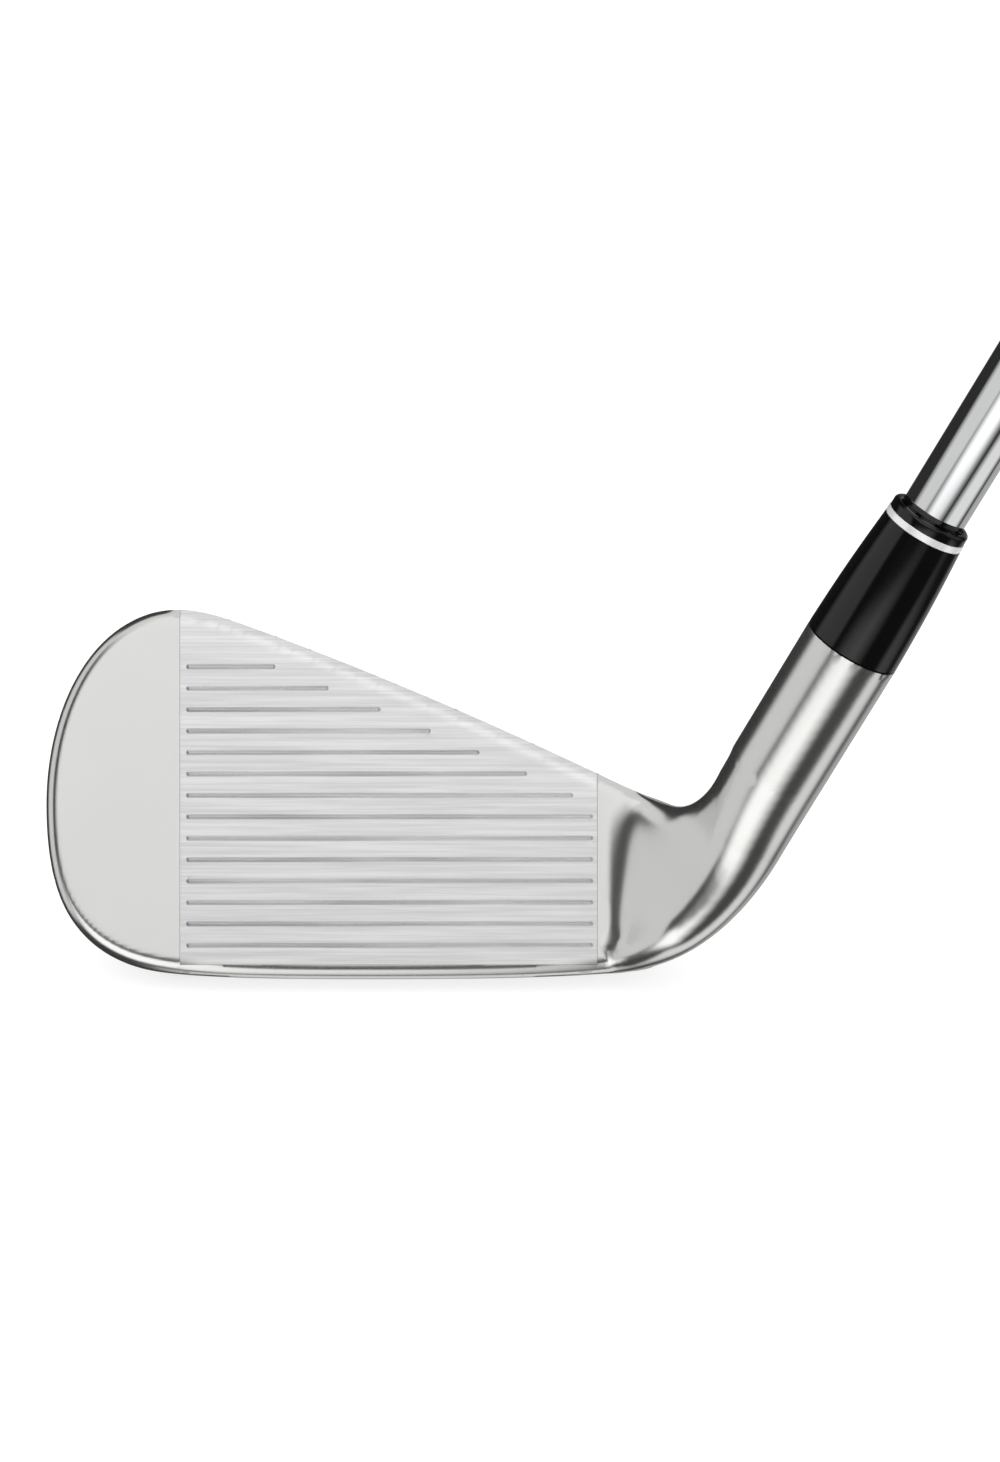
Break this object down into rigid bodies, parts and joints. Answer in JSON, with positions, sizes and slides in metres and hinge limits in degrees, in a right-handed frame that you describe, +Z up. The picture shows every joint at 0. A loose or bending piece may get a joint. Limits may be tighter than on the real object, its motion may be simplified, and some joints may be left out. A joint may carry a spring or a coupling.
{
  "type": "iron golf club",
  "caption": "Right-handed cavity-back iron with a scored milled face plate, swept hosel, banded ferrule, stepped steel shaft and rubber grip.",
  "frame": {"origin": "centre of the small flat on the sole's keel, on the ground below the middle of the score lines", "axes": "+X from toe to heel, +Y away from the ball, +Z up; the club stands in the address position with the shaft leaning 28 degrees from +Z towards +X"},
  "size_m": [0.5483, 0.036, 0.8574],
  "materials": {
    "head_steel": "satin-polished cast steel",
    "face_steel": "fine cross-milled, matt",
    "tungsten": "sintered, satin",
    "badge_plastic": "satin with brushed centre",
    "damping_rubber": "matt",
    "ferrule_plastic": "gloss, turned",
    "ring_aluminium": "polished",
    "shaft_chrome": "mirror",
    "plug_brass": "turned",
    "band_film": "satin film",
    "tape_paper": "crepe paper",
    "grip_rubber": "moulded, matt"
  },
  "bodies": {
    "root": {"head_body": "head_steel", "face_plate": "face_steel", "toe_weight": "tungsten", "cavity_badge": "badge_plastic", "badge_damping_pad": "damping_rubber", "ferrule_body": "ferrule_plastic", "ferrule_ring": "ring_aluminium", "ferrule_cap": "ferrule_plastic", "shaft": "shaft_chrome", "tip_weight_plug": "plug_brass", "shaft_band": "band_film", "grip_tape": "tape_paper", "grip_sleeve": "grip_rubber", "grip_end_cap": "grip_rubber"}
  },
  "joints": []
}
